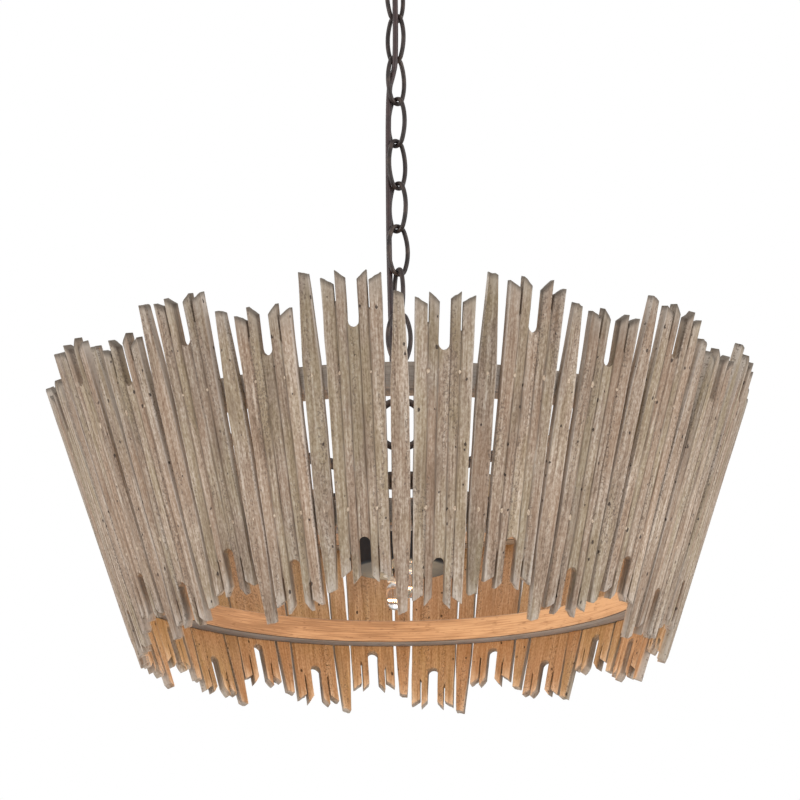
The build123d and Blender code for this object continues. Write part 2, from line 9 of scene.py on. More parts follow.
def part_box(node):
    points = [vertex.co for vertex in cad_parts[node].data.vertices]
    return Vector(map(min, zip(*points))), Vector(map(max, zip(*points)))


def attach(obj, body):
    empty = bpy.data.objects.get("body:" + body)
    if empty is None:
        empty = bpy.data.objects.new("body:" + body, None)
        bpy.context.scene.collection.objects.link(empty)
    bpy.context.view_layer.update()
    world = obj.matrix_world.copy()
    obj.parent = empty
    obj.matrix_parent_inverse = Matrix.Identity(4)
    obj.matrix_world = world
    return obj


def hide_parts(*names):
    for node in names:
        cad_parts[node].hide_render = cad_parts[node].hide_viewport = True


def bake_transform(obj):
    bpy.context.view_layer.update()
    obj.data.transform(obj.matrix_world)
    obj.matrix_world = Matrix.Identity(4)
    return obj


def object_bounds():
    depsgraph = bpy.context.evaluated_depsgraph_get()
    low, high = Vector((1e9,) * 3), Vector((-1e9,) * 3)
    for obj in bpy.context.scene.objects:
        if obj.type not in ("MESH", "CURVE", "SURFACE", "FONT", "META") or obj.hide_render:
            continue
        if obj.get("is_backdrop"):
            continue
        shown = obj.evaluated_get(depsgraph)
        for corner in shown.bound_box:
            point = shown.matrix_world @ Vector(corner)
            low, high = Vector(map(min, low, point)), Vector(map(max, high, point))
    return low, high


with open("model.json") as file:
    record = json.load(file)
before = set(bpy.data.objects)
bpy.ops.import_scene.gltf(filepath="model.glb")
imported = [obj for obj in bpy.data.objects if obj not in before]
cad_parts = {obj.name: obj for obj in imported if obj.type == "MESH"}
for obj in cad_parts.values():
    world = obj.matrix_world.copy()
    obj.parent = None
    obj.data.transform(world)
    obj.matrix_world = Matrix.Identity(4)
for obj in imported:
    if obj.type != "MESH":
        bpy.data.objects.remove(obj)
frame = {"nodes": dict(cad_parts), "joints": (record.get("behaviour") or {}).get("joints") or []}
cad_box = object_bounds()

# Ceiling bar, nipple and locknut: pressed and turned steel with a bright zinc plating. The plating is a pale
# grey metal with cloudy patches. Two box screws hold the bar to the ceiling, and the wood screws under the
# spider have the same plating.
MM = 0.001
zinc_patch = 6 * MM


def srgb(code):
    """A hex colour as linear red, green, blue and alpha."""
    channels = [int(code[start:start + 2], 16) / 255 for start in (0, 2, 4)]
    return [c / 12.92 if c <= 0.04045 else ((c + 0.055) / 1.055) ** 2.4 for c in channels] + [1.0]


def fill_sockets(material, node, inputs):
    """Sets each named or numbered input of a node to a constant, or links an output to it."""
    for key, value in inputs.items():
        if isinstance(value, bpy.types.NodeSocket):
            material.node_tree.links.new(value, node.inputs[key])
        else:
            node.inputs[key].default_value = value


def add_node(material, kind, inputs=None, stops=(), **settings):
    """Adds a shader node with its settings, its inputs and, for a colour ramp, its places and hex colours."""
    node = material.node_tree.nodes.new(kind)
    for key, value in settings.items():
        setattr(node, key, value)
    fill_sockets(material, node, inputs or {})
    for number, (place, code) in enumerate(stops):
        elements = node.color_ramp.elements
        element = elements[number] if number < 2 else elements.new(place)
        element.position = place
        element.color = srgb(code)
    return node


def new_material(name):
    """A material with its shader and nothing else."""
    material = bpy.data.materials.new(name)
    material.use_nodes = True
    return material


def set_surface(material, inputs):
    """Gives the material's shader its constants and its links."""
    fill_sockets(material, material.node_tree.nodes["Principled BSDF"], inputs)


def dress(material, *nodes):
    """Gives carried-over pieces their material."""
    for node in nodes:
        slots = frame["nodes"][node].data.materials
        slots.clear()
        slots.append(material)


zinc_steel = new_material("zinc_plated_steel")
zinc_place = add_node(zinc_steel, "ShaderNodeTexCoord").outputs["Object"]
zinc_clouds = add_node(
    zinc_steel, "ShaderNodeTexNoise", {"Vector": zinc_place, "Scale": 1 / zinc_patch, "Detail": 4.0}
).outputs["Fac"]
zinc_colour = add_node(
    zinc_steel, "ShaderNodeValToRGB", {"Fac": zinc_clouds}, stops=((0.3, "8d8f90"), (0.7, "c3c4c2"))
).outputs["Color"]
zinc_rough = add_node(
    zinc_steel, "ShaderNodeMapRange", {"Value": zinc_clouds, "To Min": 0.28, "To Max": 0.5}
).outputs["Result"]
zinc_bump = add_node(
    zinc_steel, "ShaderNodeBump", {"Height": zinc_clouds, "Strength": 0.25, "Distance": 0.1 * MM}
).outputs["Normal"]
set_surface(
    zinc_steel, {"Metallic": 1.0, "Base Color": zinc_colour, "Roughness": zinc_rough, "Normal": zinc_bump}
)
dress(zinc_steel, "crossbar", "top_nipple", "top_nut", "spider_screws")

# Canopy, screw collar and canopy loop: spun and cast steel in a dark bronze paint, rubbed by hand.
# The paint is nearly black in the hollows, browner where it is rubbed, and has a soft uneven gloss. Its grit is
# drawn at 0.8 mm, coarser than the real one, because that would be too fine to show.
rubbed_patch = 9 * MM
paint_grit = 0.8 * MM
dark_bronze = new_material("rubbed_bronze_paint")
bronze_place = add_node(dark_bronze, "ShaderNodeTexCoord").outputs["Object"]
bronze_rub = add_node(
    dark_bronze, "ShaderNodeTexNoise", {"Vector": bronze_place, "Scale": 1 / rubbed_patch, "Detail": 5.0}
).outputs["Fac"]
bronze_grit = add_node(
    dark_bronze, "ShaderNodeTexNoise", {"Vector": bronze_place, "Scale": 1 / paint_grit, "Detail": 2.0}
).outputs["Fac"]
bronze_colour = add_node(
    dark_bronze, "ShaderNodeValToRGB", {"Fac": bronze_rub},
    stops=((0.32, "241d1b"), (0.52, "352b28"), (0.72, "54463d")),
).outputs["Color"]
bronze_rough = add_node(
    dark_bronze, "ShaderNodeMapRange", {"Value": bronze_rub, "To Min": 0.6, "To Max": 0.36}
).outputs["Result"]
bronze_bump = add_node(
    dark_bronze, "ShaderNodeBump", {"Height": bronze_grit, "Strength": 0.35, "Distance": 0.12 * MM}
).outputs["Normal"]
set_surface(
    dark_bronze,
    {"Metallic": 0.3, "Base Color": bronze_colour, "Roughness": bronze_rough, "Normal": bronze_bump},
)
dress(dark_bronze, "canopy", "screw_collar", "canopy_loop")

# Chain: ten oval links of bent steel wire in the same rubbed paint. The first one hangs in the canopy loop, each
# other one hangs loose in the link above it, turned about a quarter, and the last one carries the hub ring.
link_count = 10
link_names = [f"link_{number:02d}" for number in range(1, link_count + 1)]
link_pitch = 40 * MM
link_wire = 2 * MM
dress(dark_bronze, *link_names)

# Supply cord: a round flex in brown plastic that runs beside the chain and through its third link.
# It comes out of the canopy loop and goes into the hub ring, so the object holds it at both ends.
# Each stretch runs from the middle of one link to the middle of the next, across the joint between them.
cord_radius = 2.5 * MM
cord_gap = 0.7 * MM
cord_lead = 6.5 * MM
cord_mottle = 5 * MM
cord_weld = 0.01 * MM
cord_end_angle = math.radians(60)
crossing_step = 7
crossing_reach = 4.2 * MM
cord_reach = math.sqrt(2) * (link_wire + cord_radius + cord_gap)
free_reach = cord_reach + cord_gap
loop_radius = 17.5 * MM
loop_wire = 2.5 * MM
hub_radius = 21 * MM
hub_wire = 3 * MM
running_gap = 0.3 * MM
joint_heights = [joint["pos_m"][2] for joint in frame["joints"] if joint["name"].endswith("_swing")]
loop_wire_z = joint_heights[0]
hub_wire_z = joint_heights[-1] + link_wire + hub_wire + running_gap
cord_bottom, cord_top = (corner.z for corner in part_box("supply_cord"))


def beside_chain(azimuth, height, reach):
    """A point beside the chain in one direction from its axis."""
    turn = math.radians(azimuth)
    return reach * math.cos(turn), reach * math.sin(turn), height


def step_height(step):
    """Where a link meets the next one up, counted from the hub ring."""
    return hub_wire_z + link_pitch * step


cord_points = [
    (0, 0, cord_bottom),
    (0, 0, hub_wire_z - 2 * hub_radius + 2 * hub_wire),
    beside_chain(130, hub_wire_z - 3 * hub_wire, free_reach),
    beside_chain(141, step_height(1), free_reach),
    beside_chain(152, step_height(2), free_reach),
    beside_chain(164, step_height(3), free_reach),
    beside_chain(175, step_height(4), free_reach),
    beside_chain(180, step_height(crossing_step) + cord_lead, cord_reach),
    beside_chain(225, step_height(crossing_step) + link_pitch / 2, crossing_reach),
    beside_chain(270, step_height(crossing_step + 1) - cord_lead, cord_reach),
    beside_chain(270, loop_wire_z + loop_wire + 2 * link_wire, free_reach),
    (0, 0, loop_wire_z + 2 * loop_radius - 2 * loop_wire),
    (0, 0, cord_top),
]
cord_line = bpy.data.curves.new("cord_line", "CURVE")
cord_line.dimensions = "3D"
cord_line.bevel_depth = cord_radius
cord_line.bevel_resolution = 4
cord_line.resolution_u = 24
cord_spline = cord_line.splines.new("NURBS")
cord_spline.points.add(len(cord_points) - 1)
for point, place in zip(cord_spline.points, cord_points):
    point.co = (*place, 1)
cord_spline.order_u = 3
cord_spline.use_endpoint_u = True
cord_whole = bpy.data.objects.new("cord_whole", cord_line)
bpy.context.scene.collection.objects.link(cord_whole)
bpy.context.view_layer.update()
cord_tube = bpy.data.meshes.new_from_object(cord_whole)
bpy.data.objects.remove(cord_whole)

# The jacket is extruded plastic, so it is smooth, dark brown with a faint mottling, and has a soft sheen.
cord_plastic = new_material("brown_flex_plastic")
cord_place = add_node(cord_plastic, "ShaderNodeTexCoord").outputs["Object"]
cord_clouds = add_node(
    cord_plastic, "ShaderNodeTexNoise", {"Vector": cord_place, "Scale": 1 / cord_mottle, "Detail": 3.0}
).outputs["Fac"]
cord_colour = add_node(
    cord_plastic, "ShaderNodeValToRGB", {"Fac": cord_clouds}, stops=((0.3, "2a1a19"), (0.7, "3e2927"))
).outputs["Color"]
cord_bump = add_node(
    cord_plastic, "ShaderNodeBump", {"Height": cord_clouds, "Strength": 0.2, "Distance": 0.1 * MM}
).outputs["Normal"]
set_surface(cord_plastic, {"Base Color": cord_colour, "Roughness": 0.45, "IOR": 1.5, "Normal": cord_bump})


def add_piece(name, mesh, material):
    """Makes a bmesh an object of the scene, smooth-shaded, with one material."""
    data = bpy.data.meshes.new(name)
    mesh.to_mesh(data)
    mesh.free()
    data.shade_smooth()
    data.materials.append(material)
    piece = bpy.data.objects.new(name, data)
    bpy.context.scene.collection.objects.link(piece)
    return piece


link_middles = [(above + below) / 2 for above, below in zip(joint_heights, joint_heights[1:])]
cord_cuts = [cord_top, *link_middles, cord_bottom]
for number, height in enumerate(joint_heights):
    stretch = bmesh.new()
    stretch.from_mesh(cord_tube)
    bmesh.ops.remove_doubles(stretch, verts=stretch.verts, dist=cord_weld)
    for cut, way in ((cord_cuts[number], 1), (cord_cuts[number + 1], -1)):
        if cut in (cord_top, cord_bottom):
            continue
        bmesh.ops.bisect_plane(
            stretch, geom=stretch.verts[:] + stretch.edges[:] + stretch.faces[:],
            plane_co=(0, 0, cut), plane_no=(0, 0, way), clear_outer=True,
        )
    bmesh.ops.holes_fill(stretch, edges=[edge for edge in stretch.edges if edge.is_boundary], sides=0)
    bmesh.ops.recalc_face_normals(stretch, faces=stretch.faces)
    piece = add_piece(f"cord_stretch_{number + 1:02d}", stretch, cord_plastic)
    piece.data.set_sharp_from_angle(angle=cord_end_angle)
    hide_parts("supply_cord")
    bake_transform(piece)
bpy.data.meshes.remove(cord_tube)

# Hub ring, spider and stem: the cast ring that the chain carries, the flat steel cross screwed under the
# upper hoop, and the threaded tube with its nuts, all in the same rubbed paint.
dress(dark_bronze, "hub_ring", "spider", "stem", "stem_nuts")

# Hoops: two rings of rough-sawn bent wood that every board is nailed to, with grain along the bend, faint cross
# lines from the saw and softened edges. The inner face is raw and warm. The outer face is weathered and painted
# pale, as painted light where the boards shade it. Top and underside share one grey finish, standing for silvered
# wood and, on the underside, for painted shade where the bulbs' light misses it. The lower inner edge carries a
# painted shadow, and the right half of the wood is painted paler than the left, as painted light.
shade_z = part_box("lower_hoop")[0].z
shade_radius = 242.2 * MM
wall_angle = math.radians(19.1)
board_thickness = 8.5 * MM
hoop_height = 20 * MM
hoop_width = 24 * MM
hoop_edge = 1.5 * MM
hoop_steps = 130
hoop_middle = 250 * MM
painted_light_spread = 0.08
hoop_corner = math.radians(30)
hoop_shading = math.radians(50)
upright_share = 0.5
edge_share = 0.2
raw_face, painted_light_face, silvered_shaded_face, shadow_edge = range(4)

hoop_finishes = []
for finish, stops in (
    ("rough_sawn_hoop_wood", ((0.36, "8b735f"), (0.5, "a68d77"), (0.64, "bca58e"))),
    # Painted light: the outer face is painted pale where the boards shade it, over its weathered wood.
    ("painted_light_hoop_wood", ((0.36, "c9bdb0"), (0.5, "ddd2c7"), (0.64, "ece3da"))),
    # Silvered grey wood, and painted shade on the underside, where the bulbs' light misses it.
    ("silvered_shaded_hoop_wood", ((0.36, "8a8887"), (0.5, "a3a09e"), (0.64, "bab7b4"))),
    # Painted shadow: a dark band along the lower inner edge, under the warm inner face.
    ("painted_shadow_hoop_wood", ((0.36, "423a34"), (0.5, "544b44"), (0.64, "695f57"))),
):
    hoop_wood = new_material(finish)
    hoop_place = add_node(hoop_wood, "ShaderNodeTexCoord").outputs["Object"]
    hoop_axes = add_node(hoop_wood, "ShaderNodeSeparateXYZ", {"Vector": hoop_place}).outputs
    hoop_turn = add_node(
        hoop_wood, "ShaderNodeMath", {0: hoop_axes["Y"], 1: hoop_axes["X"]}, operation="ARCTAN2"
    ).outputs["Value"]
    hoop_arc = add_node(
        hoop_wood, "ShaderNodeMath", {0: hoop_turn, 1: hoop_middle}, operation="MULTIPLY"
    ).outputs["Value"]
    hoop_flat = add_node(
        hoop_wood, "ShaderNodeCombineXYZ", {"X": hoop_axes["X"], "Y": hoop_axes["Y"]}
    ).outputs["Vector"]
    hoop_reach = add_node(
        hoop_wood, "ShaderNodeVectorMath", {0: hoop_flat}, operation="LENGTH"
    ).outputs["Value"]
    hoop_along = add_node(
        hoop_wood, "ShaderNodeCombineXYZ", {"X": hoop_arc, "Y": hoop_reach, "Z": hoop_axes["Z"]}
    ).outputs["Vector"]
    # Each mark's size in millimetres along the bend, outwards and up. The fibre is coarser than real, to show.
    hoop_marks = {}
    for mark, sizes in (
        ("fibre", (40, 1.1, 1.1)),
        ("tint", (70, 8, 8)),
        ("saw", (1.6, 14, 30)),
        ("fleck", (9, 2, 2)),
    ):
        mark_place = add_node(
            hoop_wood, "ShaderNodeMapping", {"Vector": hoop_along, "Scale": [1 / (size * MM) for size in sizes]}
        ).outputs["Vector"]
        hoop_marks[mark] = add_node(
            hoop_wood, "ShaderNodeTexNoise", {"Vector": mark_place, "Scale": 1.0, "Detail": 3.0}
        ).outputs["Fac"]
    hoop_grain = add_node(
        hoop_wood, "ShaderNodeMix", {"Factor": 0.36, "A": hoop_marks["fibre"], "B": hoop_marks["tint"]}
    ).outputs["Result"]
    # Painted light: the wood is painted paler towards the right and darker towards the left.
    hoop_side_light = add_node(
        hoop_wood, "ShaderNodeMapRange",
        {
            "Value": hoop_axes["X"], "From Min": -hoop_middle / 2, "From Max": hoop_middle / 2,
            "To Min": -painted_light_spread, "To Max": painted_light_spread,
        },
    ).outputs["Result"]
    hoop_grain = add_node(
        hoop_wood, "ShaderNodeMath", {0: hoop_grain, 1: hoop_side_light}, operation="ADD"
    ).outputs["Value"]
    hoop_colour = add_node(hoop_wood, "ShaderNodeValToRGB", {"Fac": hoop_grain}, stops=stops).outputs["Color"]
    hoop_fleck = add_node(
        hoop_wood, "ShaderNodeMapRange",
        {"Value": hoop_marks["fleck"], "From Min": 0.6, "From Max": 0.72, "To Max": 0.55},
    ).outputs["Result"]
    hoop_colour = add_node(
        hoop_wood, "ShaderNodeMix", {"Factor": hoop_fleck, 6: hoop_colour, 7: srgb("6a4f3c")}, data_type="RGBA"
    ).outputs[2]
    hoop_relief = add_node(
        hoop_wood, "ShaderNodeMix", {"Factor": 0.3, "A": hoop_marks["fibre"], "B": hoop_marks["saw"]}
    ).outputs["Result"]
    hoop_bump = add_node(
        hoop_wood, "ShaderNodeBump", {"Height": hoop_relief, "Strength": 0.6, "Distance": 0.4 * MM}
    ).outputs["Normal"]
    set_surface(hoop_wood, {"Base Color": hoop_colour, "Roughness": 0.8, "Normal": hoop_bump})
    hoop_finishes.append(hoop_wood)


def hoop_outside(height):
    """Outer radius of a hoop, against the backs of the leaning boards."""
    back = (board_thickness + running_gap) / math.cos(wall_angle)
    return shade_radius + math.tan(wall_angle) * (height - shade_z) - back


for name in ("lower_hoop", "upper_hoop"):
    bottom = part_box(name)[0].z
    top = bottom + hoop_height
    inside = hoop_outside((bottom + top) / 2) - hoop_width
    profile = ((inside, bottom), (hoop_outside(bottom), bottom), (hoop_outside(top), top), (inside, top))
    hoop = bmesh.new()
    corners = [hoop.verts.new((radius, 0, height)) for radius, height in profile]
    sides = [hoop.edges.new(pair) for pair in zip(corners, corners[1:] + corners[:1])]
    bmesh.ops.spin(
        hoop, geom=corners + sides, cent=(0, 0, 0), axis=(0, 0, 1), angle=math.tau, steps=hoop_steps,
        use_merge=True,
    )
    bmesh.ops.recalc_face_normals(hoop, faces=hoop.faces)
    rims = [edge for edge in hoop.edges if edge.calc_face_angle() > hoop_corner]
    bmesh.ops.bevel(
        hoop, geom=rims, offset=hoop_edge, segments=2, profile=0.5, affect="EDGES", material=-1
    )
    # The outer face gets painted light, the lower inner edge a painted shadow, top and underside the grey finish.
    for face in hoop.faces:
        outward = face.calc_center_median() * Vector((1, 1, 0))
        facing = face.normal.dot(outward.normalized())
        if facing < -upright_share:
            face.material_index = raw_face
        elif facing > upright_share:
            face.material_index = painted_light_face
        elif facing < -edge_share and face.normal.z < 0:
            face.material_index = shadow_edge
        else:
            face.material_index = silvered_shaded_face
    piece = add_piece(name + "_sawn", hoop, hoop_finishes[raw_face])
    for finish in hoop_finishes[painted_light_face:]:
        piece.data.materials.append(finish)
    piece.data.set_sharp_from_angle(angle=hoop_shading)
    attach(piece, "fixture")
    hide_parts(name)

# Panels: wide boards of weathered softwood, sawn at both ends into four slanted fingers with a round-ended
# notch between them. Old grain stands in crowned strips with dark grooves between them. Brads hold each panel to
# both hoops, one panel high and the next one low.
bay_count = 26
bay_angle = math.tau / bay_count
finger_line = 0.28
finger_step = 6 * MM
inner_slant = 7.5 * MM
outer_slant = 5.5 * MM
notch_half = 4.55 * MM
inner_step = 1.5 * MM
kerf_half = 0.7 * MM
kerf_depth = 27 * MM
kerf_spread = 0.3
groove_half = 0.55 * MM
groove_depth = 0.5 * MM
crown_reach = 3 * MM
crown_depth = 0.6 * MM
strip_step = 0.35 * MM
face_wave = 0.2 * MM
strip_sway = 0.4 * MM
end_tear = 0.9 * MM
groove_and_edge_reach = 1.7 * MM
wear_reach = 26 * MM
dust_line, dust_reach, dust_depth = 60 * MM, 90 * MM, 0.42
low_dark_line, low_dark_reach, low_dark_depth = 10 * MM, 50 * MM, 0.22
tone_by_strip, tone_by_height = 0.8, 0.35
tint_spread = 0.9
board_edge = 0.6 * MM
board_corner = math.radians(45)
board_rows = 40
end_share = 0.16


def board_place(angle):
    """Frame of a board: X runs across it, Y up it and Z out of its outer face."""
    outward = Vector((math.sin(angle), -math.cos(angle), 0))
    across = Vector((math.cos(angle), math.sin(angle), 0))
    normal = outward * math.cos(wall_angle) - Vector((0, 0, math.sin(wall_angle)))
    place = Matrix((across, normal.cross(across), normal)).transposed().to_4x4()
    place.translation = outward * shade_radius + Vector((0, 0, shade_z))
    return place


def wander(seed, *place):
    """A smooth wandering value from -1 to 1, the same at every run."""
    return noise.noise(Vector(place) + Vector((seed * 7.31, seed * 3.17, seed * 5.77)))


def sheet_grid(board, lines, ends, drops):
    """A flat grid from the bottom end to the top end of a board. Its columns run between two sets of lines,
    and each column stands short of each end by its own drop."""
    bottom, top = ends
    columns = len(lines[0]) - 1
    bmesh.ops.create_grid(board, x_segments=columns, y_segments=board_rows, size=0.5)
    column_layer = board.verts.layers.int.new("column")
    row_layer = board.verts.layers.int.new("row")
    for vert in board.verts:
        column = round((vert.co.x + 0.5) * columns)
        row = round((vert.co.y + 0.5) * board_rows)
        share = row / board_rows
        height = bottom + share * (top - bottom)
        height += drops[0][column] * max(0, 1 - share / end_share)
        height -= drops[1][column] * max(0, 1 - (1 - share) / end_share)
        across = lines[0][column] + share * (lines[1][column] - lines[0][column])
        vert.co = (across, height, 0)
        vert[column_layer] = column
        vert[row_layer] = row


def weather(board, seed, lines, grooves):
    """Gives a flat board its thickness, sets its crowned strips at uneven depths and marks it for its finish:
    grain is the place along the board, tone and tint differ by strip, and tone falls with dust near the top and
    falls towards the bottom. Grime and painted shade fill the grooves, wear greys the upper end, fade bleaches the
    lower end and paints the edges paler as painted light, and raw is the brown back that no weather reached."""
    grain = board.verts.layers.float_vector.new("grain")
    tone, tint, grime_and_shade, wear, fade_and_edge_light, raw = (
        board.verts.layers.float.new(name) for name in ("tone", "tint", "grime_and_shade", "wear", "fade_and_edge_light", "raw")
    )
    column_layer = board.verts.layers.int["column"]
    row_layer = board.verts.layers.int["row"]
    ends = {}
    for vert in board.verts:
        low, high = ends.get(vert[column_layer], (vert.co.y, vert.co.y))
        ends[vert[column_layer]] = min(low, vert.co.y), max(high, vert.co.y)
    bottom = min(low for low, high in ends.values())
    top = max(high for low, high in ends.values())
    lifted = bmesh.ops.extrude_face_region(board, geom=board.faces[:])["geom"]
    fronts = {part for part in lifted if isinstance(part, bmesh.types.BMVert)}
    for vert in board.verts:
        column = vert[column_layer]
        side = 1 if vert in fronts else -1
        strip = sum(column > groove for groove in grooves) if side > 0 else 0
        across, height = vert.co.x / MM, vert.co.y / MM
        edge_gap = min(lines[column] - lines[0], lines[-1] - lines[column])
        groove_gap = 1
        if side > 0 and grooves:
            groove_gap = min(abs(lines[column] - lines[groove]) for groove in grooves)
        dust = min(1, max(0, (vert.co.y - dust_line) / dust_reach))
        # Tone falls towards the bottom of the board.
        low_dark = min(1, max(0, (low_dark_line - vert.co.y) / low_dark_reach))
        vert[tone] = 0.5 - dust_depth * dust - low_dark_depth * low_dark
        vert[tone] += tone_by_strip * wander(seed, strip * 3.3, 0.7, 2.2)
        vert[tone] += tone_by_height * wander(seed, strip, height / 60, 5.1)
        vert[tint] = 0.5 + tint_spread * wander(seed, strip * 2.1, height / 90, 9.4)
        # Grime and painted shade darken the strips beside each groove.
        shade = max(1 - groove_gap / groove_and_edge_reach, 0)
        vert[grime_and_shade] = shade * (0.8 + 0.5 * wander(seed, strip, height / 14, side))
        low, high = ends[column]
        low_gap = vert.co.y - low if low - bottom < wear_reach else wear_reach
        high_gap = high - vert.co.y if top - high < wear_reach else wear_reach
        vert[wear] = max(0, 1 - high_gap / wear_reach)
        # Fade bleaches the lower end, and paints the board edges paler as painted light.
        vert[fade_and_edge_light] = max(0, 1 - low_gap / wear_reach, 1 - edge_gap / groove_and_edge_reach)
        vert[raw] = side < 0
        depth = strip_step * (1 + wander(seed, strip * 1.7, side, height / 160))
        depth += face_wave * (1 + wander(seed, across / 5, height / 35, side))
        depth += crown_depth * max(0, 1 - min(groove_gap, edge_gap) / crown_reach) ** 2
        if side > 0 and column in grooves:
            depth += groove_depth * (0.9 + 0.7 * wander(seed, strip, height / 18, side))
        vert.co.z = -depth if side > 0 else depth - board_thickness
        vert[grain] = vert.co + Vector((seed * 0.113, seed * 0.731, 0))
        vert.co.x += strip_sway * wander(seed, strip * 2.3, height / 26, 4.5)
        if vert[row_layer] in (0, board_rows):
            vert.co.y += end_tear * wander(seed, across / 2.4, side * 0.6, 8.5)
    bmesh.ops.recalc_face_normals(board, faces=board.faces)


# The wood is matte and pale brown, with lengthwise fibre, wider streaks, specks, gritty bands, tan and mossy
# patches, brown stains and small pits, and grime with painted shade in the grooves. Upper tips are dark, lower
# tips bleached, edges bleached and painted paler as painted light, backs raw and brown.
# Fibre, specks and grit are drawn at 1.2 to 1.8 mm, coarser than the real ones, so that they show.
weathered_wood = new_material("weathered_softwood")
wood_place = add_node(
    weathered_wood, "ShaderNodeAttribute", attribute_name="grain", attribute_type="GEOMETRY"
).outputs["Vector"]
wood_tone, wood_tint, wood_grime_and_shade, wood_wear, wood_fade_and_edge_light, wood_raw = (
    add_node(
        weathered_wood, "ShaderNodeAttribute", attribute_name=name, attribute_type="GEOMETRY"
    ).outputs["Fac"]
    for name in ("tone", "tint", "grime_and_shade", "wear", "fade_and_edge_light", "raw")
)
# Each mark's size in millimetres across the board, along it and through it.
wood_marks = {}
for mark, sizes, detail in (
    ("fibre", (1.2, 34, 1.2), 5.0),
    ("streak", (4, 150, 4), 3.0),
    ("speck", (1.3, 2.8, 1.3), 2.0),
    ("grit", (1.4, 1.8, 1.4), 1.0),
    ("band", (7, 130, 7), 2.0),
    ("rose", (9, 50, 9), 3.0),
    ("moss", (8, 36, 8), 3.0),
    ("stain", (15, 80, 15), 4.0),
):
    mark_place = add_node(
        weathered_wood, "ShaderNodeMapping",
        {"Vector": wood_place, "Scale": [1 / (size * MM) for size in sizes]},
    ).outputs["Vector"]
    wood_marks[mark] = add_node(
        weathered_wood, "ShaderNodeTexNoise", {"Vector": mark_place, "Scale": 1.0, "Detail": detail}
    ).outputs["Fac"]
wood_lines = add_node(
    weathered_wood, "ShaderNodeMix", {"Factor": 0.42, "A": wood_marks["fibre"], "B": wood_marks["streak"]}
).outputs["Result"]
wood_lines = add_node(
    weathered_wood, "ShaderNodeMix", {"Factor": 0.36, "A": wood_lines, "B": wood_marks["speck"]}
).outputs["Result"]
wood_colour = add_node(
    weathered_wood, "ShaderNodeValToRGB", {"Fac": wood_lines},
    stops=((0.38, "786453"), (0.46, "9a8573"), (0.53, "b29f8d"), (0.62, "d0c1b1")),
).outputs["Color"]
tone_value = add_node(
    weathered_wood, "ShaderNodeMapRange",
    {"Value": wood_tone, "From Min": -0.5, "To Min": 0.61, "To Max": 1.18},
).outputs["Result"]
wood_colour = add_node(
    weathered_wood, "ShaderNodeHueSaturation", {"Color": wood_colour, "Value": tone_value}
).outputs["Color"]
rose_share = add_node(
    weathered_wood, "ShaderNodeMath", {0: wood_marks["rose"], 1: wood_tint}, operation="MULTIPLY"
).outputs["Value"]
moss_left = add_node(
    weathered_wood, "ShaderNodeMath", {0: 1.0, 1: wood_tint}, operation="SUBTRACT"
).outputs["Value"]
moss_share = add_node(
    weathered_wood, "ShaderNodeMath", {0: wood_marks["moss"], 1: moss_left}, operation="MULTIPLY"
).outputs["Value"]
wear_share = add_node(
    weathered_wood, "ShaderNodeMath", {0: wood_wear, 1: wood_marks["streak"]}, operation="MULTIPLY"
).outputs["Value"]
fade_and_edge_light_share = add_node(
    weathered_wood, "ShaderNodeMath", {0: wood_fade_and_edge_light, 1: wood_marks["streak"]}, operation="MULTIPLY"
).outputs["Value"]
grit_band = add_node(
    weathered_wood, "ShaderNodeMapRange", {"Value": wood_marks["band"], "From Min": 0.46, "From Max": 0.58}
).outputs["Result"]
grit_share = add_node(
    weathered_wood, "ShaderNodeMath", {0: grit_band, 1: wood_marks["grit"]}, operation="MULTIPLY"
).outputs["Value"]
grime_and_shade_share = add_node(
    weathered_wood, "ShaderNodeMath", {0: wood_grime_and_shade, 1: wood_marks["speck"]}, operation="MULTIPLY"
).outputs["Value"]
pit_spacing = (6, 9, 6)
pit_wobble = 0.35
pit_place = add_node(
    weathered_wood, "ShaderNodeMapping",
    {"Vector": wood_place, "Scale": [1 / (size * MM) for size in pit_spacing]},
).outputs["Vector"]
pit_bend = add_node(
    weathered_wood, "ShaderNodeVectorMath",
    {0: wood_marks["speck"], 1: (pit_wobble, pit_wobble, pit_wobble), 2: pit_place}, operation="MULTIPLY_ADD",
).outputs["Vector"]
pit_cells = add_node(weathered_wood, "ShaderNodeTexVoronoi", {"Vector": pit_bend, "Scale": 1.0}).outputs
pit_chance = add_node(weathered_wood, "ShaderNodeSeparateColor", {"Color": pit_cells["Color"]}).outputs["Red"]
pit_size = add_node(
    weathered_wood, "ShaderNodeMapRange",
    {"Value": pit_chance, "From Min": 0.5, "From Max": 1.0, "To Min": 0.0, "To Max": 0.22},
).outputs["Result"]
pit_depth = add_node(
    weathered_wood, "ShaderNodeMath", {0: pit_size, 1: pit_cells["Distance"]}, operation="SUBTRACT"
).outputs["Value"]
pit_share = add_node(
    weathered_wood, "ShaderNodeMapRange",
    {"Value": pit_depth, "From Min": 0.0, "From Max": 0.05, "To Max": 0.8},
).outputs["Result"]
